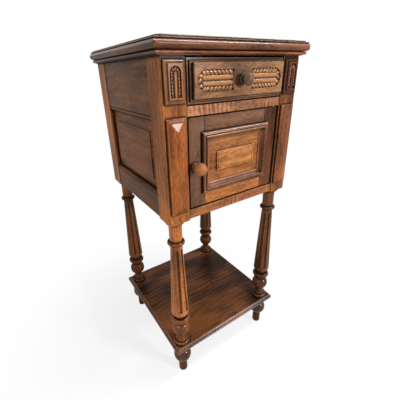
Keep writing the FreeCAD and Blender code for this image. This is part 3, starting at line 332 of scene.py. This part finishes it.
def walnut(name, seed, box, tone, axis, figure="plain", polish=1.0, gloss=walnutSettings["gloss"],
           blur=walnutSettings["coatRough"], wearAndHighlight=walnutSettings["wearAndHighlight"], sootAndShade=1.0, stainAndShade=None, ground=None,
           border=None, shadedWalls=None, nicks=None, dullWalls=False):
    look = walnutSettings
    low, high = box
    centre = (low + high) / 2
    board = Board(bpy.data.materials.new(name))
    own = srgb(*tone)
    shades = {key: tuple(map(operator.mul, own, share)) for key, (stop, share) in walnutShades.items()}
    stops = [(stop, shades[key]) for key, (stop, share) in walnutShades.items()]
    place = board.place()
    height = board.part(place, "Z")
    grain = grainOf(board, place, centre, axis, seed)
    colour = board.ramp(figured(board, grain, figure), stops)
    if stainAndShade:
        colour = stainedAndShaded(board, colour, height, stainAndShade, shades["deep"])
    if ground:
        front = Vector((centre.x, low.y, centre.z))
        colour, sootAndShade = sunkGround(board, colour, place, front, ground, shades["light"], sootAndShade)
    if border:
        depth = board.part(place, "Y") - low.y
        lower = board.step(depth, *(border * share for share in borderSettings["reach"]))
        colour = board.mix(lower, colour, borderSettings["tint"], "MULTIPLY")
    if shadedWalls is not None:
        # painted shade on the walls that face aside: -1 the left ones, 1 the right ones, 0 both
        aside = board.facing("X")
        aside = aside * shadedWalls if shadedWalls else abs(aside)
        colour = board.mix(board.step(aside, *masks["walls"]) * look["walls"], colour, wallShadeColour)
    grime = board.step(grained(board, grain["along"], "grime"), *masks["grime"])
    colour = board.mix(grime * look["grime"], colour, shades["deep"])
    pore = board.step(grain["pores"], *masks["pores"])
    colour = board.mix(pore * look["pores"], colour, poreColour)
    rubbed = board.fade(board.occlusion(look["wearReach"], inside=True), *masks["worn"])
    patchy = board.step(grained(board, place, "patches"), *masks["patches"])
    patchy = patchy * (1 - look["wornLeast"]) + look["wornLeast"]
    # lighter worn edges, with a painted highlight along them
    colour = board.mix(rubbed * patchy * wearAndHighlight, colour, shades["light"])
    # painted shade with dirt: darker in creases and fine grooves, under and between the parts
    creaseDirtAndShade = board.fade(board.occlusion(look["creaseDirtAndShadeReach"]), *masks["creaseDirtAndShade"])
    colour = board.mix(creaseDirtAndShade * (sootAndShade * look["creaseDirtAndShade"]), colour, dirtAndShadeColour)
    groove = board.fade(board.occlusion(look["grooveReach"]), *masks["groove"])
    colour = board.mix(groove * (sootAndShade * look["groove"]), colour, dirtAndShadeColour)
    coat = rubbed * (look["rubbedCoat"] * min(polish, 1.0)) + look["coat"] * polish
    if nicks:
        # dents and chips along the edges, dark with dirt, and a dull rim along the top
        nick = board.step(grained(board, place, "nicks"), *masks["nicks"])
        nick = nick * board.step(rubbed, *masks["nickedEdge"]) * nicks
        colour = board.mix(nick, colour, dirtAndShadeColour)
        rim = board.step(height, high.z - rimSettings["start"], high.z - rimSettings["end"])
        coat = (1 - rim * rimSettings["dull"]) * (1 - nick) * coat
    if dullWalls:
        # the polish is left only where the moulding looks up
        coat = (board.step(board.facing("Z"), *masks["upward"]) * (1 - wallPolish) + wallPolish) * coat
    if figure == "cathedral":
        # the flat of the board is duller than its moulded edge
        flat = board.step(board.facing("Z"), *masks["flat"])
        coat = (1 - flat * cathedralSettings["flatDull"]) * coat
    if stainAndShade:
        coat = board.fade(height, *legLevels["polish"]) * stainAndShade["coat"] + coat
        coat = coat * board.step(height, stainAndShade["bareTop"] - legSettings["bareRise"], stainAndShade["bareTop"])
    relief = grain["fine"] * look["reliefFine"] - pore * look["reliefPores"]
    relief = relief + grain["bands"] * look["reliefBands"]
    bump = board.add("ShaderNodeBump", None, {
        "Strength": look["bump"], "Distance": look["bumpDepth"], "Height": relief,
        "Normal": board.add("ShaderNodeBevel", {"samples": 4}, {"Radius": look["softEdge"]})})
    rough = (grain["fine"] - 0.5) * look["roughFine"] + creaseDirtAndShade * look["roughDirt"]
    rough = rough + (grain["drift"] - 0.5) * look["roughDrift"] + gloss
    surface = board.add("ShaderNodeBsdfPrincipled", None, {
        "Base Color": colour, "Roughness": rough, "Normal": bump, "Coat Weight": coat,
        "Coat Roughness": blur, "Specular IOR Level": look["specular"]})
    return board.finish(surface)


marbleSettings = {
    "cloud": (9.0, 6.0, 0.5, 1.4), "fleck": (90.0, 4.0, 0.6), "vein": (3.0, 14.0, 5.0, 1.4),
    "stops": [(0.30, srgb(124, 129, 118)), (0.50, srgb(176, 182, 168)), (0.70, srgb(204, 208, 197))],
    "veinReach": (0.88, 1.0), "veinShare": 0.5, "veinColour": srgb(128, 132, 130),
    "fleckReach": (0.50, 0.66), "fleckShare": 0.6, "fleckColour": srgb(124, 122, 112),
    "rough": 0.50, "roughCloud": 0.16, "specular": 0.08,
}


def marble(name):
    kit = marbleSettings
    board = Board(bpy.data.materials.new(name))
    place = board.mapped(board.place())
    cloud = board.noise(place, *kit["cloud"])
    vein = board.step(board.wave(place, "BANDS", "DIAGONAL", *kit["vein"]), *kit["veinReach"])
    fleck = board.step(board.noise(place, *kit["fleck"]), *kit["fleckReach"])
    colour = board.ramp(cloud, kit["stops"])
    colour = board.mix(vein * kit["veinShare"], colour, kit["veinColour"])
    colour = board.mix(fleck * kit["fleckShare"], colour, kit["fleckColour"])
    surface = board.add("ShaderNodeBsdfPrincipled", None, {
        "Base Color": colour, "Roughness": cloud * kit["roughCloud"] + kit["rough"],
        "Specular IOR Level": kit["specular"]})
    return board.finish(surface)


brassSettings = {
    "tarnish": (160.0, 5.0), "stops": [(0.3, srgb(84, 62, 30)), (0.7, srgb(168, 132, 70))],
    "metal": 0.9, "rough": 0.3, "roughTarnish": 0.3,
}


def brass(name):
    kit = brassSettings
    board = Board(bpy.data.materials.new(name))
    tarnish = board.noise(board.mapped(board.place()), *kit["tarnish"])
    surface = board.add("ShaderNodeBsdfPrincipled", None, {
        "Base Color": board.ramp(tarnish, kit["stops"]), "Metallic": kit["metal"],
        "Roughness": tarnish * kit["roughTarnish"] + kit["rough"]})
    return board.finish(surface)


# How each piece of the case is cut from the wood and what it has been through
post = {"axis": "z", "polish": 0.4, "sootAndShade": 1.4}
postStain = {"turnings": 0.6, "leg": 0.0, "lift": 0.0, "liftTop": 0.53, "coat": 0.18, "bareTop": 0.0}
footStain = {"turnings": 0.0, "leg": 0.0, "lift": 0.5, "liftTop": 0.046, "coat": 0.0, "bareTop": 0.046}
caseSide = {"axis": "y", "polish": 0.1}
topRail = {"tone": (96, 68, 46), "polish": 5.5, "blur": 0.18, "sootAndShade": 0.8, "dullWalls": True}
bedMoulding = {"polish": 5.0, "blur": 0.18, "sootAndShade": 0.75, "wearAndHighlight": 0.6, "dullWalls": True}
plaque = {"axis": "z", "sootAndShade": 1.7, "shadedWalls": 0}
cartoucheGround = {"halfSide": 0.1115, "halfRise": 0.0200, "depth": 0.0030,
                   "reedStart": 0.0275, "reedEnd": 0.1010, "reedRise": 0.0102}
nicheGround = {"halfSide": 0.0117, "halfRise": 0.0250, "depth": 0.0026,
               "reedStart": -0.001, "reedEnd": 0.0032, "reedRise": 0.0215}
doorMoulding = {"polish": 2.4, "blur": 0.32, "sootAndShade": 1.4, "wearAndHighlight": 0.6}
caseInside = {"tone": (160, 124, 82), "polish": 0.1}
drawerBox = {"tone": (168, 132, 90), "polish": 0.1}
woods = {
    "post_front_left": {**post, "tone": (154, 93, 48), "stainAndShade": {**postStain, "lift": 0.45}},
    "post_front_right": {**post, "tone": (128, 79, 43), "stainAndShade": {**postStain, "leg": 0.2}},
    # the back legs are darker: painted shade under the case
    "post_back": {**post, "tone": (154, 93, 48),
                  "stainAndShade": {**postStain, "turnings": 0.75, "leg": 0.7, "coat": 0.08}},
    "foot_": {"tone": (84, 52, 30), "axis": "z", "polish": 3.0, "stainAndShade": footStain},
    "shelf": {"tone": (84, 49, 25), "axis": "x", "figure": "cathedral", "polish": 6.0, "blur": 0.30,
              "wearAndHighlight": 0.8},
    "side_top_rail": {**caseSide, "tone": (104, 68, 40)},
    "side_bottom_rail": {**caseSide, "tone": (94, 55, 26)},
    "side_panel": {**caseSide, "tone": (114, 70, 38)},
    "front_top_rail": {"tone": (110, 72, 46), "axis": "x", "polish": 0.4},
    "drawer_rail": {"tone": (155, 105, 74), "axis": "x", "figure": "ripple"},
    "front_bottom_rail": {"tone": (148, 93, 56), "axis": "x", "figure": "ripple"},
    "top_rail_front": {**topRail, "tone": (112, 70, 46), "axis": "x", "nicks": 0.85},
    "top_rail_left": {**topRail, "axis": "y", "nicks": 0.5},
    "top_rail_right": {**topRail, "axis": "y"},
    "top_rail_back": {**topRail, "axis": "x"},
    "bed_moulding_front": {**bedMoulding, "tone": (148, 85, 46), "axis": "x"},
    "bed_moulding_": {**bedMoulding, "tone": (96, 66, 44), "axis": "y"},
    "upper_plaque_left": {**plaque, "tone": (136, 87, 54), "polish": 1.5, "blur": 0.15,
                          "ground": nicheGround},
    "upper_plaque_right": {**plaque, "tone": (86, 44, 22), "polish": 0.8, "blur": 0.15,
                           "ground": nicheGround},
    "lower_plaque_left": {**plaque, "tone": (147, 84, 42), "blur": 0.17},
    "lower_plaque_right": {**plaque, "tone": (128, 77, 45), "blur": 0.17},
    "drawer_front": {"tone": (128, 88, 60), "axis": "x", "polish": 2.2},
    "drawer_field": {"tone": (140, 96, 60), "axis": "x", "polish": 3.2, "sootAndShade": 1.6, "shadedWalls": 0,
                     "ground": cartoucheGround},
    "drawer_knob": {"tone": (112, 86, 68), "axis": "y", "figure": "quiet", "blur": 0.3},
    "door_stile_latch": {"tone": (112, 79, 59), "axis": "z", "figure": "calm"},
    # darker tone: painted shade on the hinge stile
    "door_stile_hinge": {"tone": (96, 57, 34), "axis": "z", "polish": 0.4},
    "door_top_rail": {"tone": (105, 73, 53), "axis": "x"},
    "door_bottom_rail": {"tone": (174, 108, 58), "axis": "x"},
    # strong edge wear on the door panel: a painted highlight along the field's bead
    "door_panel": {"tone": (182, 119, 66), "axis": "x", "figure": "mottled", "polish": 8.0, "blur": 0.15,
                   "sootAndShade": 0.6, "wearAndHighlight": 0.9, "border": 0.0040, "dullWalls": True},
    "door_moulding_top": {**doorMoulding, "tone": (124, 82, 54), "axis": "x", "polish": 7.0, "blur": 0.2,
                          "dullWalls": True},
    "door_moulding_bottom": {**doorMoulding, "tone": (132, 90, 66), "axis": "x", "polish": 0.9,
                             "dullWalls": True},
    "door_moulding_left": {**doorMoulding, "tone": (138, 85, 53), "axis": "z", "shadedWalls": -1},
    # darker tone: painted shade on the slope that faces left
    "door_moulding_right": {**doorMoulding, "tone": (124, 74, 44), "axis": "z", "shadedWalls": 1},
    "door_knob": {"tone": (170, 110, 68), "axis": "y", "figure": "quiet", "polish": 2.2, "blur": 0.34},
    "back_panel": {**caseInside, "axis": "z"},
    "back_": {**caseInside, "axis": "x"},
    "cupboard_floor": {**caseInside, "axis": "x"},
    "drawer_runner": {**caseInside, "axis": "y"},
    "drawer_guide": {**caseInside, "axis": "y"},
    "drawer_stops": {**caseInside, "axis": "x"},
    "drawer_side": {**drawerBox, "axis": "y"},
    "drawer_back": {**drawerBox, "axis": "x"},
    "drawer_bottom": {**drawerBox, "tone": (164, 128, 86), "axis": "x"},
}
slots = {part["node"]: part["material_slot"] for part in frame["record"]["subparts"]}


def chosen(table, node):
    # the entry of the longest name that the node's name starts with
    return table[max((key for key in table if node.startswith(key)), key=len)]


def dress(node, material):
    nodes[node].data.materials.clear()
    nodes[node].data.materials.append(material)


marbleStone = marble("marbleStone")
agedBrass = brass("agedBrass")
for number, (node, slot) in enumerate(sorted(slots.items())):
    if slot == "marble":
        dress(node, marbleStone)
    elif slot == "brass":
        dress(node, agedBrass)
    else:
        dress(node, walnut(node + "Wood", number + 1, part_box(node), **chosen(woods, node)))
print("dressed", len(slots), "pieces")


# Carving: leaves laid in the sunk fields that the case has
leafSettings = {"segments": (12, 8), "taper": 0.55, "vein": 0.35, "veinWidth": 0.22, "under": -0.25}
pearlSegments = (16, 10)


def onFront(node):
    # local u to the right, v up, w out of the front face of a node
    low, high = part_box(node)
    centre = (low + high) / 2
    return Matrix(((1, 0, 0, centre.x), (0, 0, -1, low.y), (0, 1, 0, centre.z), (0, 0, 0, 1)))


def leaf(shape, spot, heading, size):
    # a pointed, veined leaf that lies on the floor of a carving; heading is where its tip points
    kit = leafSettings
    length, width, height = size
    around, along = kit["segments"]
    made = bmesh.ops.create_uvsphere(shape, u_segments=around, v_segments=along, radius=1.0)["verts"]
    for corner in made:
        across, up, tip = corner.co
        slim = 1 - kit["taper"] * ((tip + 1) / 2) ** 2
        vein = 1 - kit["vein"] * math.exp(-(across / kit["veinWidth"]) ** 2)
        rise = max(up, kit["under"]) * slim * vein * height
        corner.co = (tip * length / 2, across * slim * width / 2, rise)
    place = Matrix.Translation(spot) @ Matrix.Rotation(heading, 4, "Z")
    bmesh.ops.transform(shape, matrix=place, verts=made)


def pearl(shape, spot, radius, height):
    around, along = pearlSegments
    made = bmesh.ops.create_uvsphere(shape, u_segments=around, v_segments=along, radius=1.0)["verts"]
    place = Matrix.Translation(spot) @ Matrix.Diagonal((radius, radius, height, 1))
    bmesh.ops.transform(shape, matrix=place, verts=made)


def carved(shape, name, place, body, material):
    bmesh.ops.transform(shape, matrix=place, verts=shape.verts)
    bmesh.ops.recalc_face_normals(shape, faces=shape.faces)
    for face in shape.faces:
        face.smooth = True
    mesh = bpy.data.meshes.new(name)
    shape.to_mesh(mesh)
    shape.free()
    mesh.materials.append(material)
    piece = bpy.data.objects.new(name, mesh)
    scene.collection.objects.link(piece)
    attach(piece, body)


# the leaves are cut from the middle of the log
logMiddle = (Vector((0, 0, 0)), Vector((0, 0, 0)))
cartouche = {
    "inner": 0.0275, "spring": 0.0910, "row": 0.0151, "floor": -0.0030, "pitch": 0.0094, "ends": 5,
    "large": (0.0162, 0.0090, 0.0036), "small": (0.0148, 0.0082, 0.0033),
    "slant": math.radians(40), "turn": math.radians(35),
    "wood": {"seed": 71, "tone": (156, 108, 64), "axis": "x", "polish": 2.4, "gloss": 0.34, "sootAndShade": 0.6},
}


def cartoucheLeaves(side):
    kit = cartouche
    shape = bmesh.new()
    count = round((kit["spring"] - kit["inner"]) / kit["pitch"])
    for row in (-1, 1):
        for number in range(count):
            u = kit["inner"] + kit["pitch"] * (number + 0.5)
            size = kit["large"] if number % 2 == 0 else kit["small"]
            leaf(shape, (u, row * kit["row"], kit["floor"]), row * kit["slant"], size)
    for number in range(kit["ends"]):
        angle = math.pi * (number + 0.5) / kit["ends"] - math.pi / 2
        spot = (kit["spring"] + kit["row"] * math.cos(angle), kit["row"] * math.sin(angle), kit["floor"])
        leaf(shape, spot, angle + (kit["turn"] if angle < 0 else -kit["turn"]), kit["small"])
    if side < 0:
        bmesh.ops.transform(shape, matrix=Matrix.Diagonal((-1, 1, 1, 1)), verts=shape.verts)
    return shape


carvedWood = walnut("carvedLeafWood", box=logMiddle, **cartouche["wood"])
for side, label in ((-1, "left"), (1, "right")):
    carved(cartoucheLeaves(side), "cartouche_leaves_" + label, onFront("drawer_field"), "drawer", carvedWood)

niche = {
    "row": 0.0074, "bottom": -0.0215, "spring": 0.0134, "floor": -0.0026, "pitch": 0.0060, "ends": 5,
    "leaf": (0.0088, 0.0052, 0.0027), "slant": math.radians(66), "arch": 0.0080,
    "flower": 0.0175, "pearl": (0.0030, 0.0032),
    "wood": {"seed": 72, "tone": (122, 77, 44), "axis": "z", "polish": 1.4, "gloss": 0.38, "sootAndShade": 0.75},
}


def nicheLeaves():
    kit = niche
    shape = bmesh.new()
    count = round((kit["spring"] - kit["bottom"]) / kit["pitch"])
    for row in (-1, 1):
        for number in range(count):
            v = kit["bottom"] + kit["pitch"] * (number + 0.5)
            heading = kit["slant"] if row > 0 else math.pi - kit["slant"]
            leaf(shape, (row * kit["row"], v, kit["floor"]), heading, kit["leaf"])
    for number in range(kit["ends"]):
        angle = math.pi * (number + 0.5) / kit["ends"]
        spot = (kit["arch"] * math.cos(angle), kit["spring"] + kit["arch"] * math.sin(angle), kit["floor"])
        leaf(shape, spot, angle, kit["leaf"])
    pearl(shape, (0, kit["flower"], kit["floor"]), *kit["pearl"])
    return shape


# a darker copy of the carved wood: painted shade on the leaves in the niches
shadedWood = walnut("shadedLeafWood", box=logMiddle, **niche["wood"])
for label in ("left", "right"):
    carved(nicheLeaves(), "niche_leaves_" + label, onFront("upper_plaque_" + label), "carcass", shadedWood)
print("carved the drawer and the plaques")

# Floor, light and camera
floorSettings = {"size": 12.0, "matte": 0.38, "pale": 0.95, "fadeOut": (0.25, 0.75), "nearGlow": 0.78,
                 "farGlow": 0.22}
floorShape = bmesh.new()
bmesh.ops.create_grid(floorShape, x_segments=1, y_segments=1, size=floorSettings["size"])
floorMesh = bpy.data.meshes.new("floor")
floorShape.to_mesh(floorMesh)
floorShape.free()
floor = bpy.data.objects.new("floor", floorMesh)
scene.collection.objects.link(floor)


def backdropRays(board):
    # 1 for what is seen straight, mirrored or through glass
    rays = ("Is Camera Ray", "Is Glossy Ray", "Is Transmission Ray")
    straight, mirrored, through = (board.add("ShaderNodeLightPath", None, None, ray) for ray in rays)
    return straight + mirrored + through


def grey(value):
    return (value, value, value, 1.0)


# white far away, and less so near the part, so that its shadow shows
paper = Board(bpy.data.materials.new("paleFloor"))
away = paper.vector("LENGTH", paper.mapped(paper.place()), output="Value")
matte = paper.add("ShaderNodeBsdfDiffuse", None, {"Color": grey(floorSettings["matte"])})
pale = paper.add("ShaderNodeBsdfDiffuse", None, {"Color": grey(floorSettings["pale"])})
glow = paper.add("ShaderNodeEmission", None, {"Color": grey(1.0), "Strength": 1.0})
far = paper.step(away, *floorSettings["fadeOut"])
share = far * floorSettings["farGlow"] + floorSettings["nearGlow"]
shown = paper.add("ShaderNodeMixShader", None, {0: share, 1: pale, 2: glow})
floorMesh.materials.append(paper.finish(
    paper.add("ShaderNodeMixShader", None, {0: backdropRays(paper), 1: matte, 2: shown})))

skySettings = {"tint": (0.93, 0.96, 1.0, 1.0), "strength": 0.34}
studio = Board(bpy.data.worlds.new("studio"))
softSky = studio.add("ShaderNodeBackground", None, {0: skySettings["tint"], 1: skySettings["strength"]})
whiteSky = studio.add("ShaderNodeBackground", None, {0: grey(1.0), 1: 1.0})
sky = studio.add("ShaderNodeMixShader", None, {0: backdropRays(studio), 1: softSky, 2: whiteSky})
scene.world = studio.finish(sky, "ShaderNodeOutputWorld")

lamps = {
    "window": {"at": (1.23, -2.45, 1.19), "aim": (0.0, 0.0, 0.6), "size": (0.44, 0.30), "power": 66.0,
               "tint": (0.98, 0.975, 1.0)},
    "high": {"at": (1.4, -0.72, 2.6), "aim": (1.4, -0.72, 0.0), "size": (1.5, 0.28), "power": 50.0,
             "tint": (0.97, 0.98, 1.0)},
    "left": {"at": (-2.3, -0.9, 1.3), "aim": (0.0, 0.0, 0.6), "size": (1.2, 1.0), "power": 26.0,
             "tint": (1.0, 0.96, 0.86)},
}
for name, lamp in lamps.items():
    light = bpy.data.lights.new(name, "AREA")
    light.shape = "RECTANGLE"
    light.size, light.size_y = lamp["size"]
    light.energy = lamp["power"]
    light.color = lamp["tint"]
    holder = bpy.data.objects.new(name, light)
    holder.location = lamp["at"]
    holder.rotation_euler = (Vector(lamp["aim"]) - Vector(lamp["at"])).to_track_quat("-Z", "Y").to_euler()
    scene.collection.objects.link(holder)

# the eye's place in metres, its turns in degrees, its focal length and picture centre in pixels of the frame,
# and its sensor in millimetres
view = {"x": -0.4079, "beforeFront": 0.4390, "z": 0.8205, "yaw": 32.3388, "pitch": 24.4771, "roll": -1.8348,
        "focal": 267.7193, "centre": (189.1329, 193.8031), "frame": 400, "sensor": 36.0, "clipStart": 0.02}
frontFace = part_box("post_front_left")[0].y
yaw, pitch, roll = (math.radians(view[key]) for key in ("yaw", "pitch", "roll"))
ahead = Vector((math.sin(yaw) * math.cos(pitch), math.cos(yaw) * math.cos(pitch), -math.sin(pitch)))
level = ahead.cross(Vector((0, 0, 1))).normalized()
top = level.cross(ahead)
right = level * math.cos(roll) + top * math.sin(roll)
upward = top * math.cos(roll) - level * math.sin(roll)
eye = bpy.data.cameras.new("eye")
eye.sensor_fit = "HORIZONTAL"
eye.sensor_width = view["sensor"]
eye.lens = view["focal"] / view["frame"] * view["sensor"]
eye.shift_x = (view["frame"] / 2 - view["centre"][0]) / view["frame"]
eye.shift_y = (view["centre"][1] - view["frame"] / 2) / view["frame"]
eye.clip_start = view["clipStart"]
camera = bpy.data.objects.new("eye", eye)
turn = Matrix((right, upward, -ahead)).transposed().to_4x4()
camera.matrix_world = Matrix.Translation((view["x"], frontFace - view["beforeFront"], view["z"])) @ turn
scene.collection.objects.link(camera)
scene.camera = camera
print("camera and lamps set")
